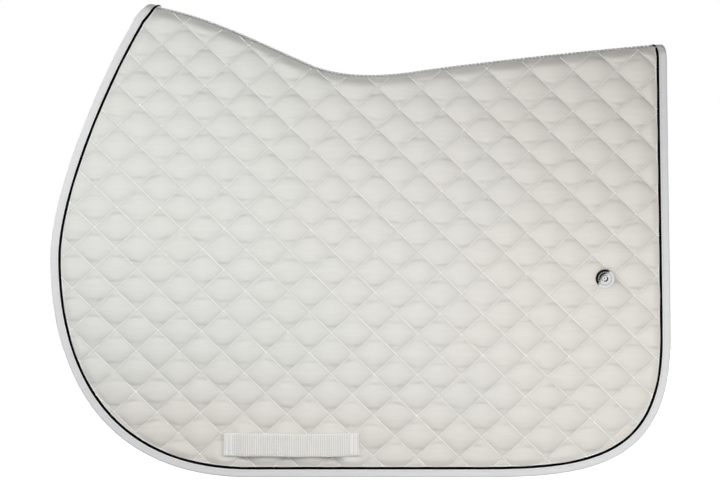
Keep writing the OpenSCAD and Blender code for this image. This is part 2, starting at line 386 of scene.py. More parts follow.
def shell_depth(side, points):
    """Depth of a half's outer face at [x, z] points."""
    edge_in, under = margins(points)
    middle = middle_depth(under)
    stand = SHELL[side].stand(points, to_lattice(points), edge_in, under)
    depth = middle + stand
    presses = PRESSES + ([BADGE_PRESS] if side == "left" else [])
    for centre, half, level in presses:
        gap = np.abs(points - centre) - half
        away = np.linalg.norm(np.maximum(gap, 0), axis=1)
        depth = depth + (level - depth) * (1 - smooth(away / PRESS_FADE))
    return depth


# ---------------- meshes


def make(name, verts, faces):
    """A mesh object from points in mm, with its rest place kept for the materials."""
    mesh = bpy.data.meshes.new(name)
    verts = np.asarray(verts, float) * MM
    mesh.from_pydata(verts.tolist(), [], [list(map(int, f)) for f in faces])
    mesh.validate()
    place = mesh.attributes.new("cloth_place", "FLOAT_VECTOR", "POINT")
    place.data.foreach_set("vector", verts.astype(np.float32).ravel())
    mesh.polygons.foreach_set("use_smooth", [True] * len(mesh.polygons))
    obj = bpy.data.objects.new(name, mesh)
    bpy.context.scene.collection.objects.link(obj)
    return obj


def keep_grooves(obj, depths):
    """Keeps how deep each point lies in a seam, crease or hollow between ribs, the mask for painted shade
    that makes the cloth a little darker there.
    """
    groove = obj.data.attributes.new("groove", "FLOAT", "POINT")
    groove.data.foreach_set("value", np.asarray(depths, np.float32))


def grid_faces(rows, cols, wrap=False):
    """Quads of a grid of points laid out row by row; wrap joins the last column to the first."""
    r, c = np.meshgrid(np.arange(rows - 1), np.arange(cols if wrap else cols - 1), indexing="ij")
    a = r * cols + c
    b = r * cols + (c + 1) % cols
    return np.stack([a, b, b + cols, a + cols], -1).reshape(-1, 4)


CROWDING = 0.05


def uneven(count):
    """Steps from 0 to 1 that crowd towards both ends, where the stitching pulls the cloth in."""
    s = np.linspace(0, 1, count + 1)
    return s - CROWDING * np.sin(2 * math.pi * s)


# The grids reach up to GRID_TOP, and a quad with less than SLIVER mm2 left inside is dropped
GRID_TOP = 90
SLIVER = 0.004


def panel_grid(steps, trim):
    """Points and quads of the quilted area, cut to the outline less a trim."""
    corners = to_lattice(np.array([[x, z] for x in (FRONT_X, REAR_X) for z in (BOTTOM_Z, GRID_TOP)]))
    p0, q0 = np.floor(corners.min(0)).astype(int)
    p1, q1 = np.ceil(corners.max(0)).astype(int)
    t = uneven(steps)[:-1]
    p = np.concatenate([k + t for k in range(p0, p1)] + [[p1]])
    q = np.concatenate([k + t for k in range(q0, q1)] + [[q1]])
    pq = np.stack(np.meshgrid(p, q, indexing="ij"), -1).reshape(-1, 2)
    points = from_lattice(pq)
    edge_in, under = margins(points)
    on_pad = (points > FIELD_ORIGIN).all(1) & (points < FIELD_END).all(1)
    inside = on_pad & (edge_in > trim) & (under > SPINE_TRIM)
    quads = grid_faces(len(p), len(q))
    quads = quads[inside[quads].any(1)]
    used, quads = np.unique(quads, return_inverse=True)
    quads = quads.reshape(-1, 4)
    points = points[used]
    pq = pq[used]
    for _ in range(3):
        for k, (line, normal, least) in enumerate(
            ((edge_line, edge_normal, trim), (spine_line, spine_normal, SPINE_TRIM))
        ):
            close = np.flatnonzero(margins(points)[k] < least + 1)
            depth, way = inset(points[close], line, normal)
            out = depth < least
            points[close[out]] += (least - depth[out])[:, None] * way[out]
    edge_in, under = margins(points)
    a, b, c, d = (points[quads[:, n]] for n in range(4))
    area = np.abs(np.cross(c - a, d - b)) / 2
    return points, pq, edge_in, under, quads[area > SLIVER]


def ride_flap(obj, side, blended=True):
    """A blended piece only has its transform baked into its mesh; any other is parented to its flap's
    empty.
    """
    body = side + "_flap"
    if blended:
        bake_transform(obj)
    else:
        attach(obj, body)


# The linings keep this far from the plane between the flaps
LEAST_DEPTH = 0.12


def quilted_face(name, side, grid, quilt, inner, nodes, material):
    """The outer or inner cloth of one half, from the spine to the edge of the flap."""
    points, pq, edge_in, under, quads = grid
    sign = SIDES[side]
    middle = middle_depth(under)
    if inner:
        depth = np.maximum(middle - quilt.stand(points, pq, edge_in, under), LEAST_DEPTH)
    else:
        depth = shell_depth(side, points)
    verts = np.stack([points[:, 0], sign * depth, points[:, 1]], 1)
    facing_out = (sign < 0) != inner
    obj = make(name, verts, quads if facing_out else quads[:, ::-1])
    # Painted shade along the seams and creases, stored for the cloth's colour
    keep_grooves(obj, quilt.groove(points, pq))
    obj.data.materials.append(material)
    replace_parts(obj, *nodes)
    ride_flap(obj, side)


# ---------------- materials


def new_material(name):
    m = bpy.data.materials.new(name)
    m.use_nodes = True
    nt = m.node_tree
    return m, nt, nt.nodes["Principled BSDF"]


def feed(nt, socket, value):
    """Links a socket to another one, or sets it to a plain value."""
    if isinstance(value, bpy.types.NodeSocket):
        nt.links.new(value, socket)
    else:
        socket.default_value = value


def add(nt, kind, **sockets):
    """A new node, its inputs set or linked by name, with _ for a space."""
    n = nt.nodes.new(kind)
    for key, value in sockets.items():
        feed(nt, n.inputs[key.replace("_", " ")], value)
    return n


def maths(nt, operation, *values, clamp=False):
    n = nt.nodes.new("ShaderNodeMath")
    n.operation = operation
    n.use_clamp = clamp
    for socket, value in zip(n.inputs, values):
        feed(nt, socket, value)
    return n.outputs[0]


def vector_maths(nt, operation, first, second):
    n = nt.nodes.new("ShaderNodeVectorMath")
    n.operation = operation
    feed(nt, n.inputs[0], first)
    feed(nt, n.inputs[1], second)
    return n


def mapped(nt, value, source, target, curve="LINEAR"):
    """A value taken from one range to another, and held inside it."""
    n = add(nt, "ShaderNodeMapRange", Value=value, From_Min=source[0], From_Max=source[1],
            To_Min=target[0], To_Max=target[1])
    n.interpolation_type = curve
    return n.outputs["Result"]


def attribute(nt, name):
    n = nt.nodes.new("ShaderNodeAttribute")
    n.attribute_name = name
    return n


# The pad is warmer to the rear and along the bottom: where the warm tint starts and is full, in m
WARM_X = (-0.15, 0.3)
WARM_Z = (-0.3, -0.38)
WARM_LOW = 0.8
TWILL_SLANT = math.radians(45)
SLUB_STRETCH = (0.07, 1, 1)
GRAIN_TINT = (0.955, 1.04)
# Painted shade: how much the cloth's colour darkens at the bottom of a seam, crease or hollow between
# ribs
PAINTED_SHADE_DARK = 0.21
CLOTH_RELIEF = 0.00012


def cloth_tint(nt, place, colours):
    """A slow, clouded drift from one tint to the other."""
    split = add(nt, "ShaderNodeSeparateXYZ", Vector=place)
    across = mapped(nt, split.outputs["X"], WARM_X, (0, 1))
    down = mapped(nt, split.outputs["Z"], WARM_Z, (0, WARM_LOW))
    cloud = add(nt, "ShaderNodeTexNoise", Vector=place, Scale=9.0, Detail=2.0)
    wander = maths(nt, "MULTIPLY_ADD", cloud.outputs["Fac"], 0.5, -0.25)
    tint = nt.nodes.new("ShaderNodeMix")
    tint.data_type = "RGBA"
    tint.inputs["A"].default_value = (*colours[0], 1)
    tint.inputs["B"].default_value = (*colours[1], 1)
    warm = maths(nt, "MAXIMUM", across, down)
    feed(nt, tint.inputs["Factor"], maths(nt, "ADD", warm, wander, clamp=True))
    return tint.outputs["Result"]


def cloth_material(name, colours, pitch=0.55, bump=0.3, sheen=0.25, rough=0.85):
    """Woven cloth with a twill of the given pitch in mm and thin slubs along X, with painted shade
    darkening its colour in seams, creases and between ribs.
    """
    m, nt, shader = new_material(name)
    place = attribute(nt, "cloth_place").outputs["Vector"]
    turn = add(nt, "ShaderNodeVectorRotate", Vector=place, Angle=TWILL_SLANT)
    turn.rotation_type = "Y_AXIS"
    twill = add(nt, "ShaderNodeTexWave", Vector=turn.outputs["Vector"],
                Scale=math.pi / 10 / (pitch * MM), Distortion=1.2, Detail=1.0)
    twill.bands_direction = "X"
    fibre = add(nt, "ShaderNodeTexNoise", Vector=place, Scale=900.0, Detail=3.0, Roughness=0.6)
    stretched = vector_maths(nt, "MULTIPLY", place, SLUB_STRETCH).outputs[0]
    slub = add(nt, "ShaderNodeTexNoise", Vector=stretched, Scale=420.0, Detail=2.0)
    grain = maths(nt, "ADD", fibre.outputs["Fac"], slub.outputs["Fac"])
    # Painted shade: the colour darkens with the stored seam, crease and rib-hollow mask
    groove = attribute(nt, "groove").outputs["Fac"]
    light = maths(nt, "MULTIPLY", mapped(nt, grain, (0.5, 1.5), GRAIN_TINT),
                  maths(nt, "MULTIPLY_ADD", groove, -PAINTED_SHADE_DARK, 1.0))
    colour = nt.nodes.new("ShaderNodeVectorMath")
    colour.operation = "SCALE"
    feed(nt, colour.inputs[0], cloth_tint(nt, place, colours))
    feed(nt, colour.inputs["Scale"], light)
    feed(nt, shader.inputs["Base Color"], colour.outputs[0])
    height = maths(nt, "ADD", twill.outputs["Fac"], grain)
    relief = add(nt, "ShaderNodeBump", Height=height, Strength=bump, Distance=CLOTH_RELIEF)
    feed(nt, shader.inputs["Normal"], relief.outputs["Normal"])
    shader.inputs["Roughness"].default_value = rough
    shader.inputs["Sheen Weight"].default_value = sheen
    shader.inputs["Sheen Roughness"].default_value = 0.5
    shader.inputs["Specular IOR Level"].default_value = 0.2
    return m


def metal_material(name, colour, rough):
    """Metal with fine scuffs that vary its gloss."""
    m, nt, shader = new_material(name)
    place = nt.nodes.new("ShaderNodeTexCoord").outputs["Object"]
    scuff = add(nt, "ShaderNodeTexNoise", Vector=place, Scale=700.0, Detail=4.0)
    gloss = mapped(nt, scuff.outputs["Fac"], (0, 1), (rough * 0.7, rough * 1.4))
    feed(nt, shader.inputs["Roughness"], gloss)
    shader.inputs["Base Color"].default_value = (*colour, 1)
    shader.inputs["Metallic"].default_value = 1
    return m


def one_tint(r, g, b):
    return ((r, g, b), (r, g, b))


shell_cloth = cloth_material("shell_twill", ((0.80, 0.805, 0.765), (0.82, 0.785, 0.735)))
lining_cloth = cloth_material("lining_cotton", ((0.8, 0.8, 0.78), (0.8, 0.79, 0.77)), pitch=0.7)
tape_cloth = cloth_material("binding_tape", one_tint(0.78, 0.78, 0.785), pitch=0.4, bump=0.15)
black_cloth = cloth_material(
    "piping_satin", one_tint(0.0015, 0.0015, 0.0018), pitch=0.35, sheen=0.0, rough=0.8
)
black_cloth.node_tree.nodes["Principled BSDF"].inputs["Specular IOR Level"].default_value = 0.06
cord_cloth = cloth_material("piping_core", one_tint(0.8, 0.79, 0.75))
webbing_cloth = cloth_material("webbing", ((0.9, 0.9, 0.87), (0.9, 0.885, 0.85)), pitch=0.45)
thread_cloth = cloth_material("thread", one_tint(0.98, 0.98, 0.965), pitch=0.25, bump=0.2)
seam_thread = cloth_material("seam_thread", one_tint(0.7, 0.7, 0.69), pitch=0.25, bump=0.2)
flange_cloth = cloth_material("piping_flange", one_tint(0.93, 0.93, 0.92), pitch=0.4, bump=0.1)
overcast_cloth = cloth_material("overcast_thread", one_tint(0.9, 0.89, 0.87), pitch=0.25)
wadding_cloth = cloth_material("wadding_fleece", one_tint(0.9, 0.9, 0.88), pitch=1.5, bump=0.6)
badge_metal = metal_material("badge_chrome", (0.78, 0.78, 0.79), 0.07)
rivet_metal = metal_material("rivet_steel", (0.6, 0.6, 0.62), 0.35)

# ---------------- quilted layers

CLOTH_TRIM = 2.0
CORE_TRIM = 3.0
fine_grid = panel_grid(18, CLOTH_TRIM)
coarse_grid = panel_grid(12, CLOTH_TRIM)
core_grid = panel_grid(8, CORE_TRIM)
# The wadding's gap to each cloth, and the least depth and thickness it is left with
CORE_GAP = 0.45
CORE_DEPTH = 0.3
CORE_T = 0.2


def wadding(side):
    """The soft filling, a closed mesh a little inside the shell and lining."""
    points, pq, edge_in, under, quads = core_grid
    sign = SIDES[side]
    middle = middle_depth(under)
    outer = shell_depth(side, points) - CORE_GAP
    inner = middle - LINING[side].stand(points, pq, edge_in, under) + CORE_GAP
    inner = np.minimum(np.maximum(inner, CORE_DEPTH), outer - CORE_T)
    n = len(points)
    verts = np.concatenate([
        np.stack([points[:, 0], sign * d, points[:, 1]], 1) for d in (outer, inner)
    ])
    open_edges = {}
    for quad in quads:
        for a, b in zip(quad, np.roll(quad, -1)):
            if (b, a) in open_edges:
                del open_edges[(b, a)]
            else:
                open_edges[(a, b)] = True
    rim = [(b, a, a + n, b + n) for a, b in open_edges]
    faces = quads.tolist() + (quads[:, ::-1] + n).tolist() + rim
    if sign > 0:
        faces = [f[::-1] for f in faces]
    obj = make(side + "_wadding_core", verts, faces)
    obj.data.materials.append(wadding_cloth)
    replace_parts(obj, side + "_wadding", side + "_wadding_top")
    ride_flap(obj, side)


for side in SIDES:
    quilted_face(side + "_quilted_shell", side, fine_grid, SHELL[side], False,
                 [side + "_shell", side + "_shell_top"], shell_cloth)
    quilted_face(side + "_quilted_lining", side, coarse_grid, LINING[side], True,
                 [side + "_lining", side + "_lining_top"], lining_cloth)
    wadding(side)

# ---------------- quilting stitches

STITCH = 2.5
THREAD_R = 0.55
THREAD_LIFT = 0.7 * THREAD_R
# How far the stitches stay from the piping, the spine trim, the keepers' ends and the badge's seat
PIPING_CLEAR = 1.5
TRIM_CLEAR = 0.3
KEEPER_CLEAR = 0.3
BADGE_CLEAR = 5.5
# A stitch's shape: places along it from -1 to 1, and its share of the thread's radius there
CAPSULE = [(-1, 0.25), (-0.86, 0.85), (-0.3, 1.0), (0.3, 1.0), (0.86, 0.85), (1, 0.25)]
CAPSULE_SIDES = 5
# How far a stitch's ends dip, as a share of the thread's radius
DIP = 0.81


def capsules(starts, ends, outward, radius):
    """Short round stitches from start to end, dipping into the cloth at both ends."""
    along = ends - starts
    length = np.linalg.norm(along, axis=1)[:, None]
    along = along / length
    side = np.cross(along, outward)
    side /= np.linalg.norm(side, axis=1)[:, None]
    up = np.cross(side, along)
    middle = (starts + ends) / 2
    rings = []
    for t, r in CAPSULE:
        centre = middle + along * length / 2 * t - up * radius * DIP * abs(t) ** 3
        for k in range(CAPSULE_SIDES):
            a = 2 * math.pi * k / CAPSULE_SIDES
            rings.append(centre + radius * r * (math.cos(a) * side + math.sin(a) * up))
    per = len(CAPSULE) * CAPSULE_SIDES
    verts = np.stack(rings, 1).reshape(-1, 3)
    quads = grid_faces(len(CAPSULE), CAPSULE_SIDES, wrap=True)
    base = (np.arange(len(starts)) * per)[:, None, None]
    faces = (quads[None] + base).reshape(-1, 4).tolist()
    first = np.arange(CAPSULE_SIDES)[::-1]
    last = np.arange(per - CAPSULE_SIDES, per)
    for k in range(len(starts)):
        faces.append((first + k * per).tolist())
        faces.append((last + k * per).tolist())
    return verts, faces


def quilting(side, name, axis, gap):
    """One of two crossing sets of stitched lines, along one lattice axis."""
    sign = SIDES[side]
    starts, ends = [], []
    per_cell = round(np.linalg.norm((P_AXIS, Q_AXIS)[axis]) / STITCH)
    k = np.arange(-CELLS * per_cell, CELLS * per_cell)
    for line in range(-CELLS, CELLS):
        pq = np.empty((len(k), 2, 2))
        pq[:, 0, axis] = (k + gap / 2) / per_cell
        pq[:, 1, axis] = (k + 1 - gap / 2) / per_cell
        pq[:, :, 1 - axis] = line
        ab = from_lattice(pq.reshape(-1, 2)).reshape(-1, 2, 2)
        mid = ab.mean(1)
        box = (mid > (FRONT_X, BOTTOM_Z)).all(1) & (mid < (REAR_X, GRID_TOP)).all(1)
        ab, mid = ab[box], mid[box]
        edge_in, under = margins(mid)
        keep = (edge_in > PIPING_IN + PIPING_CLEAR) & (under > SPINE_TRIM + TRIM_CLEAR)
        starts.append(ab[keep, 0])
        ends.append(ab[keep, 1])
    starts, ends = np.vstack(starts), np.vstack(ends)
    mid = (starts + ends) / 2
    clear = np.ones(len(mid), bool)
    presses = [(centre, half + KEEPER_CLEAR) for centre, half, _ in PRESSES]
    if side == "left":
        presses.append((BADGE_PRESS[0], BADGE_PRESS[1] + BADGE_CLEAR))
    for centre, reach in presses:
        clear &= (np.abs(mid - centre) > reach).any(1)
    starts, ends = starts[clear], ends[clear]
    a, b = (
        np.stack([at[:, 0], sign * (shell_depth(side, at) + THREAD_LIFT), at[:, 1]], 1)
        for at in (starts, ends)
    )
    verts, faces = capsules(a, b, np.tile([0.0, sign, 0.0], (len(a), 1)), THREAD_R)
    obj = make(f"{side}_{name}_stitches", verts, faces)
    obj.data.materials.append(thread_cloth)
    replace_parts(obj, side + "_quilting_thread", side + "_quilting_thread_top")
    ride_flap(obj, side)


# The falling lines are nearly unbroken, and the rising ones read as dots
for side in SIDES:
    quilting(side, "falling_quilting", 0, gap=0.04)
    quilting(side, "rising_quilting", 1, gap=0.36)

# ---------------- bound edge

STATION_STEP = 1.8
TAPE_T = 0.6
HALF_EDGE = EDGE_HALF + TAPE_T
# The tape's depth is read this far inside the edge, and each half's tape keeps clear of the other's
READ_IN = 4
TAPE_CLEAR = 0.05
# Along the edge from each crossing of the fold: where the way inward starts and ends its swing to
# the spine's direction, and where the tape starts to turn over the fold
SWING_FROM = 19
SWING_TO = 5
TURN_FROM = 11.5
PIPING_SINK = 0.85
PIPING_SIDES = 14
CORE_THINNER = 0.4
# The strip that holds the piping shows as a fine raised line at each side of it: inset, half width
FLANGE_LINES = ((8.35, 0.6), (12.25, 0.55))
FLANGE_SINK = 0.25
FLANGE_HALF_HIGH = 0.45
FLANGE_SIDES = 8
# Two fine rows of stitches: inset, height over the tape's face, thread radius
EDGE_ROWS = ((TAPE_W - 0.9, 0.05, 0.2), (13.6, -0.1, 0.24))
EDGE_STITCH_PITCH = 2.6
EDGE_STITCH = 1.6


def edge_stations(side):
    """Places along the bound edge of one half, from the fold at the withers round to the fold at the
    croup: a point on the outer edge, the way inward from it and the way outward off the face."""
    sign = SIDES[side]
    line = resample(bound_edge, STATION_STEP)
    normal = inward(line)
    run = STATION_STEP * np.arange(len(line))
    rest = run[::-1]
    _, under = margins(line + READ_IN * normal)
    depth = np.maximum(middle_depth(np.maximum(under, 0)), HALF_EDGE + TAPE_CLEAR)
    turn = np.zeros(len(line))
    into = normal.copy()
    for away, over in ((run, front_over), (rest, rear_over)):
        edge_way = normal[np.argmin(np.abs(away - SWING_FROM))]
        into[away < SWING_FROM] = edge_way
        share = 1 - smooth((away - SWING_TO) / (SWING_FROM - SWING_TO))
        into += (over - into) * share[:, None]
        turn += math.pi / 2 * (1 - smooth(away / TURN_FROM))
    into /= np.linalg.norm(into, axis=1)[:, None]
    depth = depth * np.cos(turn)
    point = np.stack([line[:, 0], sign * depth, line[:, 1]], 1)
    flat = np.zeros(len(line))
    across = np.stack([into[:, 0], flat, into[:, 1]], 1)
    off_face = np.stack([flat, sign * np.cos(turn), np.sin(turn)], 1)
    off_face -= (off_face * across).sum(1)[:, None] * across
    off_face /= np.linalg.norm(off_face, axis=1)[:, None]
    return point, across, off_face


def sweep(stations, section):
    """Carries [inset, height] points of a closed section along stations."""
    point, across, off_face = stations
    section = np.array(section)
    verts = (
        point[:, None]
        + section[None, :, :1] * across[:, None]
        + section[None, :, 1:] * off_face[:, None]
    )
    return verts.reshape(-1, 3), grid_faces(len(point), len(section), wrap=True)


def facing(quads, sign):
    """The quads, turned over where sign is negative."""
    return quads if sign > 0 else quads[:, ::-1]


def tape_section():
    """The tape in section: a soft U over the raw edge with turned-in hems."""
    top = HALF_EDGE
    leg = [
        (TAPE_W, top - 0.5), (TAPE_W - 0.15, top - 0.05), (TAPE_W - 0.6, top + 0.06),
        (TAPE_W - 1.4, top), (5.2, top - 0.05), (3.0, top),
    ]
    bend = [
        (1.1 - 1.1 * math.cos(math.radians(a)), top * math.sin(math.radians(a)))
        for a in (65, 50, 35, 17, 0, -17, -35, -50, -65)
    ]
    back = [(d, -h) for d, h in reversed(leg)]
    inside = top - TAPE_T
    lined = [(TAPE_W, -inside), (2.2, -inside), (1.0, -inside / 2), (1.0, inside / 2), (2.2, inside)]
    return leg + [(1.2, top)] + bend + [(1.2, -top)] + back + lined + [(TAPE_W, inside)]


def ellipse(inset, height, half_wide, half_high, sides):
    angles = [2 * math.pi * k / sides for k in range(sides)]
    return [(inset + half_wide * math.cos(a), height + half_high * math.sin(a)) for a in angles]


def ends_closed(faces, rows, cols):
    """The faces of a swept tube, with one more over each of its ends."""
    first = list(range(cols))[::-1]
    last = list(range((rows - 1) * cols, rows * cols))
    return [list(f) for f in faces] + [first, last]


def stitch_row(stations, inset, height, radius):
    """Short stitches along the bound edge at one inset."""
    point, across, off_face = stations
    path = point + inset * across + height * off_face
    run = np.concatenate([[0], np.cumsum(np.linalg.norm(np.diff(path, axis=0), axis=1))])
    at = np.arange(EDGE_STITCH_PITCH / 2, run[-1] - EDGE_STITCH_PITCH, EDGE_STITCH_PITCH)
    starts, ends, outward = (
        np.stack([np.interp(at + shift, run, rows[:, k]) for k in range(3)], 1)
        for shift, rows in ((0, path), (EDGE_STITCH, path), (0, off_face))
    )
    return capsules(starts, ends, outward, radius)


def joined(pieces):
    """Several (points, faces) pairs as one."""
    verts, faces = [], []
    for more, quads in pieces:
        faces += [[i + len(verts) for i in face] for face in quads]
        verts += list(more)
    return verts, faces


def edge_piece(side, name, shape, material, nodes=()):
    """A piece along one half's edge, its transform baked into its mesh."""
    obj = make(side + name, *shape)
    obj.data.materials.append(material)
    if nodes:
        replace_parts(obj, *nodes)
    ride_flap(obj, side)


def edge_trim(side):
    """The tape over the raw edge, the piping beside it and their stitching."""
    sign = SIDES[side]
    stations = edge_stations(side)
    count = len(stations[0])
    verts, quads = sweep(stations, tape_section())
    edge_piece(side, "_binding_tape", (verts, facing(quads, sign)), tape_cloth,
               [side + "_binding", "withers_binding", "croup_binding"])
    for name, radius, material, slot, node in (
        ("_piping", PIPING_R, black_cloth, "piping_black", "piping_cover"),
        ("_piping_core", PIPING_R - CORE_THINNER, cord_cloth, "piping_core", "piping_cord"),
    ):
        section = ellipse(PIPING_IN, HALF_EDGE - PIPING_SINK, radius, radius, PIPING_SIDES)
        verts, quads = sweep(stations, section)
        faces = ends_closed(facing(quads, -sign), count, PIPING_SIDES)
        edge_piece(side, name, (verts, faces), material, [f"{side}_{node}", f"top_{node}"])
    lines = []
    for inset, half_wide in FLANGE_LINES:
        section = ellipse(inset, HALF_EDGE - FLANGE_SINK, half_wide, FLANGE_HALF_HIGH, FLANGE_SIDES)
        verts, quads = sweep(stations, section)
        lines.append((verts, facing(quads, -sign)))
    edge_piece(side, "_piping_flange", joined(lines), flange_cloth)
    rows = [stitch_row(stations, inset, HALF_EDGE + lift, r) for inset, lift, r in EDGE_ROWS]
    edge_piece(side, "_edge_stitches", joined(rows), seam_thread)


for side in SIDES:
    edge_trim(side)

# ---------------- spine

RIDGE_R = 1.35
RIDGE_STEP = 1.5
RIDGE_SIDES = 14
# How far from each crossing of the edge over the fold the ridge starts
RIDGE_FROM_FRONT = 8.0
RIDGE_FROM_REAR = 11.0
WHIP_PITCH = 4.4
WHIP_T = 0.42
WHIP_HALF_W = 1.55
WHIP_SLANT = 0.75
WHIP_GAP = 0.05
WHIP_START, WHIP_TURN = -80, 340
WHIP_STEPS = 22
WHIP_SIDES = 8


def upright(at):
    """An [x, z] pair as a point or direction in the fold's plane."""
    return np.array([at[0], 0, at[1]])


def spine_piece(name, verts, faces):
    obj = make(name, verts, faces)
    obj.data.materials.append(overcast_cloth)
    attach(obj, "spine")
    return obj


def spine_ridge(centre, normal):
    """The joined top edges of both halves."""
    verts = []
    for c, n in zip(centre, normal):
        for k in range(RIDGE_SIDES):
            a = 2 * math.pi * k / RIDGE_SIDES
            x, z = c - n * RIDGE_R * math.sin(a)
            verts.append((x, RIDGE_R * math.cos(a), z))
    rows = len(centre)
    faces = ends_closed(grid_faces(rows, RIDGE_SIDES, wrap=True), rows, RIDGE_SIDES)
    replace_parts(spine_piece("spine_seam_ridge", verts, faces), "spine_binding")


def overcast_thread(centre, normal, tangent, run):
    """Flat turns of thread that slant over the ridge."""
    verts, faces = [], []
    for turn in range(int(run[-1] / WHIP_PITCH)):
        base = len(verts)
        for k in range(WHIP_STEPS + 1):
            a = math.radians(WHIP_START + WHIP_TURN * k / WHIP_STEPS)
            at = (turn + 0.5) * WHIP_PITCH + WHIP_PITCH * WHIP_SLANT * (k / WHIP_STEPS - 0.5)
            c, n, along = (
                upright([np.interp(at, run, rows[:, i]) for i in (0, 1)])
                for rows in (centre, normal, tangent)
            )
            out = np.array([0, math.cos(a), 0]) - n * math.sin(a)
            middle = c + out * (RIDGE_R + WHIP_GAP)
            for i in range(WHIP_SIDES):
                b = 2 * math.pi * i / WHIP_SIDES
                verts.append(middle + WHIP_T * math.cos(b) * out + WHIP_HALF_W * math.sin(b) * along)
        rows = WHIP_STEPS + 1
        quads = ends_closed(grid_faces(rows, WHIP_SIDES, wrap=True), rows, WHIP_SIDES)
        faces += [[base + i for i in face] for face in quads]
    spine_piece("spine_overcast_thread", verts, faces)


def spine():
    """The fold's top edge, between the two corners."""
    line = resample(spine_edge, RIDGE_STEP)
    normal = inward(line)
    keep = (line[:, 0] > FRONT_CROSSING[0] + RIDGE_FROM_FRONT)
    keep &= (line[:, 0] < REAR_CROSSING[0] - RIDGE_FROM_REAR)
    line, normal = line[keep], normal[keep]
    centre = line + normal * (RIDGE_R + WHIP_T)
    run = np.concatenate([[0], np.cumsum(np.linalg.norm(np.diff(line, axis=0), axis=1))])
    spine_ridge(centre, normal)
    overcast_thread(centre, normal, headings(line), run)


spine()

# ---------------- girth keepers

RIB_PITCH = 2.4
RIB_HEIGHT = 0.55
RIB_STEPS = 8
RIB_POWER = 0.8
WEB_T = 1.3
WEB_GAP = 0.1
WEB_ROUND = 0.9
# The webbing's edges waver a little: height, length and start of two slow waves
WAVERS = ((0.35, 19, 0), (0.2, 7.3, 1))
KEEPER_STAND = 3.6
KEEPER_RAMP = 14
BAR_R = 0.42
BAR_ROWS = 21
BAR_EDGE = 1.3
BAR_COLUMNS = (2.0, 6.4)
BAR_WIDE = 3.4
BAR_TILT = (0.1, 0.9)
BAR_LIFT = 0.6 * THREAD_R


def keeper_lift(x):
    """Height of the webbing's underside over the sewn ends, at a distance along it."""
    near, far = x - KEEPER_END, KEEPER_LONG - KEEPER_END - x
    return KEEPER_STAND * (smooth(near / KEEPER_RAMP) * smooth(far / KEEPER_RAMP))


def webbing_line():
    """Places along the webbing, its ribs from 0 to 1, its underside's depth and its slight waver."""
    x = np.arange(0, KEEPER_LONG + 1e-6, RIB_PITCH / RIB_STEPS)
    rib = np.abs(np.sin(math.pi * x / RIB_PITCH)) ** RIB_POWER
    under = PRESS_LEVEL + WEB_GAP + keeper_lift(x)
    waver = sum(rise * np.sin(x / wave + start) for rise, wave, start in WAVERS)
    return x, rib, under, waver


def keeper(side):
    """A ribbed webbing loop, sewn flat at both ends."""
    sign = SIDES[side]
    x, rib, under, waver = webbing_line()
    wide = KEEPER_WIDE
    across = np.concatenate([[0, 0.35], np.linspace(1.0, wide - 1.0, 12), [wide - 0.35, wide]])
    edge = np.minimum(across, wide - across)
    round_off = np.sqrt(np.clip(1 - (1 - np.clip(edge / WEB_ROUND, 0, 1)) ** 2, 0, 1))[None, :]
    half = WEB_T * 0.5
    top = under[:, None] + half + (half + RIB_HEIGHT * rib[:, None]) * round_off
    bottom = under[:, None] + half - (half - 0.05 * rib[:, None]) * round_off
    z = KEEPER_LOW[2] + across[None, :] + waver[:, None]
    xx = np.repeat(KEEPER_LOW[0] + x[:, None], len(across), 1)
    outer = np.stack([xx, sign * top, z], -1)
    inner = np.stack([xx, sign * bottom, z], -1)[:, ::-1]
    loop = np.concatenate([outer, inner], 1)
    rows, cols = loop.shape[:2]
    faces = ends_closed(facing(grid_faces(rows, cols, wrap=True), sign), rows, cols)
    obj = make(side + "_keeper_webbing", loop.reshape(-1, 3), faces)
    # Painted shade: the webbing's colour darkens in the hollows between its ribs
    keep_grooves(obj, np.repeat(1 - rib, cols))
    obj.data.materials.append(webbing_cloth)
    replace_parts(obj, side + "_girth_keeper")
    ride_flap(obj, side, blended=False)
    bar_tacks(side, x, top[:, len(across) // 2], waver)


def bar_tacks(side, x, top, waver):
    """Two zigzag columns of thread across each sewn end."""
    row_high = (KEEPER_WIDE - 2 * BAR_EDGE) / BAR_ROWS
    ends = ([], [])
    for end in (0, 1):
        for column in BAR_COLUMNS:
            for k in range(BAR_ROWS):
                bar = (column, column + BAR_WIDE)
                if end:
                    bar = (KEEPER_LONG - bar[1], KEEPER_LONG - bar[0])
                tilt = row_high * BAR_TILT[k % 2]
                for at, rise, points in zip(bar, (tilt, row_high - tilt), ends):
                    depth = np.interp(at, x, top) + BAR_LIFT
                    z = KEEPER_LOW[2] + BAR_EDGE + row_high * k + rise + np.interp(at, x, waver)
                    points.append((KEEPER_LOW[0] + at, SIDES[side] * depth, z))
    starts, finishes = np.array(ends[0]), np.array(ends[1])
    outward = np.tile([0.0, SIDES[side], 0.0], (len(starts), 1))
    sewn = make(side + "_keeper_bar_tacks", *capsules(starts, finishes, outward, BAR_R))
    sewn.data.materials.append(thread_cloth)
    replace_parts(sewn, side + "_keeper_stitching")
    ride_flap(sewn, side, blended=False)


for side in SIDES:
    keeper(side)

# ---------------- badge

BADGE_R = (high("badge_cap")[0] - low("badge_cap")[0]) / 2
BADGE_SIDES = 96
BOSS_R = 3.4
LIP_R = 0.45
SHOULDER_LOW = 1.1
SHOULDER_RISE = 1.9
BEAD_RING_R = 7.2
BEAD_R = 0.75
BEAD_COUNT = 24
BEAD_ROWS, BEAD_COLS = 7, 10


def shoulder_height(r):
    """Height of the badge's dome at a radius outside its boss."""
    return SHOULDER_LOW + SHOULDER_RISE * (1 - ((r - BOSS_R) / (BADGE_R - BOSS_R)) ** 2)


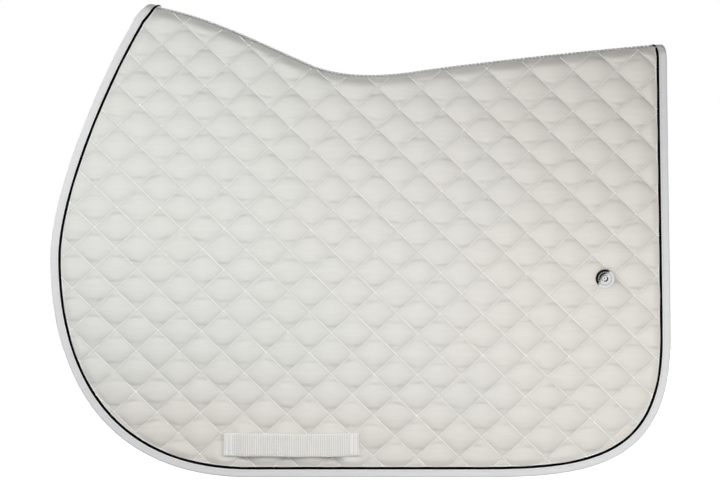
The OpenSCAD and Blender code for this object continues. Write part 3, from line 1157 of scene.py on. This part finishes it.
def badge_point(r, a, h):
    """A point at a radius, angle and height outward from the face, round the badge's axis."""
    return np.array([BADGE[0] + r * math.cos(a), -(FACE + h), BADGE[2] + r * math.sin(a)])


def badge_piece(name, verts, faces):
    obj = make(name, verts, faces)
    obj.data.materials.append(badge_metal)
    ride_flap(obj, "left", blended=False)
    return obj


def badge_dome():
    """A turned dome with a low lip round a hollow centre."""
    top = SHOULDER_LOW + SHOULDER_RISE
    rim = [(BADGE_R - 0.35, 0.0), (BADGE_R, 0.3), (BADGE_R, 0.75), (BADGE_R - 0.25, 1.0)]
    shoulder = [(r, shoulder_height(r)) for r in np.linspace(BADGE_R - 0.5, BOSS_R + 0.6, 14)]
    lip = [
        (BOSS_R + LIP_R * math.cos(math.radians(a)), top + LIP_R * math.sin(math.radians(a)))
        for a in range(0, 181, 20)
    ]
    hollow = [(BOSS_R - 0.6, 2.75), (1.6, 2.85), (0.8, 2.95), (0.05, 3.0)]
    profile = [(0.05, 0.0)] + rim + shoulder + lip + hollow
    verts = [
        badge_point(r, 2 * math.pi * k / BADGE_SIDES, h) for r, h in profile for k in range(BADGE_SIDES)
    ]
    quads = grid_faces(len(profile), BADGE_SIDES, wrap=True)
    centre = [(len(profile) - 1) * BADGE_SIDES + k for k in range(BADGE_SIDES)]
    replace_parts(badge_piece("badge_dome", verts, quads.tolist() + [centre]), "badge_cap")


def badge_beads():
    """A ring of small beads on the dome."""
    ball = []
    for i in range(BEAD_ROWS):
        lat = math.radians(-85 + 170 * i / (BEAD_ROWS - 1))
        for j in range(BEAD_COLS):
            lon = 2 * math.pi * j / BEAD_COLS
            ball.append((math.cos(lat) * math.cos(lon), -math.sin(lat), math.cos(lat) * math.sin(lon)))
    faces = ends_closed(grid_faces(BEAD_ROWS, BEAD_COLS, wrap=True), BEAD_ROWS, BEAD_COLS)
    height = shoulder_height(BEAD_RING_R)
    beads = []
    for b in range(BEAD_COUNT):
        centre = badge_point(BEAD_RING_R, 2 * math.pi * b / BEAD_COUNT, height)
        beads.append((centre + BEAD_R * np.array(ball), faces))
    badge_piece("badge_bead_ring", *joined(beads))


badge_dome()
badge_beads()
for node in ("badge_rivet", "badge_washer"):
    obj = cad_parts[node]
    obj.data.materials.clear()
    obj.data.materials.append(rivet_metal)

# ---------------- camera, light and floor

VIEW_WIDTH = 784.8
VIEW_X = 0.0
VIEW_Z = -179.85
CAMERA_AWAY = 3000.0
SENSOR = 36

scene = bpy.context.scene
scene.view_settings.view_transform = "Standard"
camera_data = bpy.data.cameras.new("camera")
camera = bpy.data.objects.new("camera", camera_data)
scene.collection.objects.link(camera)
camera.location = (VIEW_X * MM, -(CAMERA_AWAY + FACE) * MM, VIEW_Z * MM)
camera.rotation_euler = (math.pi / 2, 0, 0)
camera_data.sensor_width = SENSOR
camera_data.lens = SENSOR * CAMERA_AWAY / VIEW_WIDTH
camera_data.clip_end = 50
scene.camera = camera


def strip_light(name, place, along, aim, size, strength):
    """A soft strip that lights near and far cloth alike, because its power doesn't fall away."""
    data = bpy.data.lights.new(name, "AREA")
    data.shape = "RECTANGLE"
    data.size, data.size_y = size
    data.energy = 1.0
    data.use_nodes = True
    nodes = data.node_tree.nodes
    even = nodes.new("ShaderNodeLightFalloff")
    even.inputs["Strength"].default_value = strength
    data.node_tree.links.new(even.outputs["Constant"], nodes["Emission"].inputs["Strength"])
    obj = bpy.data.objects.new(name, data)
    z = -aim.normalized()
    x = along.normalized()
    turn = Matrix((x, z.cross(x), z)).transposed()
    obj.matrix_world = Matrix.Translation(place) @ turn.to_4x4()
    obj.visible_camera = False
    obj.visible_glossy = False
    scene.collection.objects.link(obj)


# A pair of long strip lights slopes down to the rear beside each flap, LIGHT_AWAY metres from its
# face: one is tilted to shine upwards and one downwards
LIGHT_AWAY = 0.335
STRIP_POWER = 12.9
AMBIENT = 0.302
STRIP_TILT = math.radians(30)
STRIP_SLOPE = math.radians(21)
STRIP_SIZE = (3.0, 0.03)
STRIP_X = -0.17
STRIP_Z = -0.155
strip_along = Vector((math.cos(STRIP_SLOPE), 0, -math.sin(STRIP_SLOPE)))
strip_up = Vector((math.sin(STRIP_SLOPE), 0, math.cos(STRIP_SLOPE)))
for flap, sign in (("near", -1), ("far", 1)):
    toward = Vector((0, -sign, 0))
    at = Vector((STRIP_X, sign * (FACE * MM + LIGHT_AWAY), STRIP_Z))
    for part, way in (("upper", 1), ("lower", -1)):
        aim = toward * math.cos(STRIP_TILT) + strip_up * way * math.sin(STRIP_TILT)
        strip_light(f"{flap}_{part}_strip", at, strip_along, aim, STRIP_SIZE, STRIP_POWER)

world = bpy.data.worlds.new("studio")
scene.world = world
world.use_nodes = True
background = world.node_tree.nodes["Background"]
background.inputs["Color"].default_value = (1, 1, 1, 1)
background.inputs["Strength"].default_value = AMBIENT


MIRROR_BRIGHT = Vector((0.75, -0.1, -0.65)).normalized()
MIRROR_EDGE = (-0.09, 0.16)
MIRROR_LIGHT = (0.01, 1.15)


def mixed(nt, share, first, second):
    n = nt.nodes.new("ShaderNodeMixShader")
    for socket, value in zip(n.inputs, (share, first, second)):
        nt.links.new(value, socket)
    return n.outputs[0]


def reflected_studio(nt):
    """A white backdrop, and what metal mirrors: a bright side low on the right, a dark one high on
    the left."""
    direction = nt.nodes.new("ShaderNodeTexCoord").outputs["Generated"]
    toward = vector_maths(nt, "DOT_PRODUCT", direction, MIRROR_BRIGHT).outputs["Value"]
    strength = mapped(nt, toward, MIRROR_EDGE, MIRROR_LIGHT, curve="SMOOTHSTEP")
    mirrored = add(nt, "ShaderNodeBackground", Strength=strength)
    backdrop = add(nt, "ShaderNodeBackground", Color=(1, 1, 1, 1), Strength=1.0)
    path = nt.nodes.new("ShaderNodeLightPath")
    lit = mixed(nt, path.outputs["Is Glossy Ray"], nt.nodes["Background"].outputs[0], mirrored.outputs[0])
    seen = mixed(nt, path.outputs["Is Camera Ray"], lit, backdrop.outputs[0])
    nt.links.new(seen, nt.nodes["World Output"].inputs["Surface"])


reflected_studio(world.node_tree)

FLOOR_Z = -0.62
FLOOR_REACH = 8.0


def studio_floor():
    """A pale floor, white like the studio behind it."""
    verts = [(x, y, FLOOR_Z) for y in (-FLOOR_REACH, FLOOR_REACH) for x in (-FLOOR_REACH, FLOOR_REACH)]
    mesh = bpy.data.meshes.new("studio_floor")
    mesh.from_pydata(verts, [], grid_faces(2, 2).tolist())
    floor = bpy.data.objects.new("studio_floor", mesh)
    scene.collection.objects.link(floor)
    m, nt, shader = new_material("studio_white")
    shader.inputs["Base Color"].default_value = (0.9, 0.9, 0.9, 1)
    shader.inputs["Roughness"].default_value = 0.9
    shader.inputs["Emission Color"].default_value = (1, 1, 1, 1)
    shader.inputs["Emission Strength"].default_value = 1.0
    mesh.materials.append(m)
    floor.visible_diffuse = False
    floor.visible_glossy = False


studio_floor()
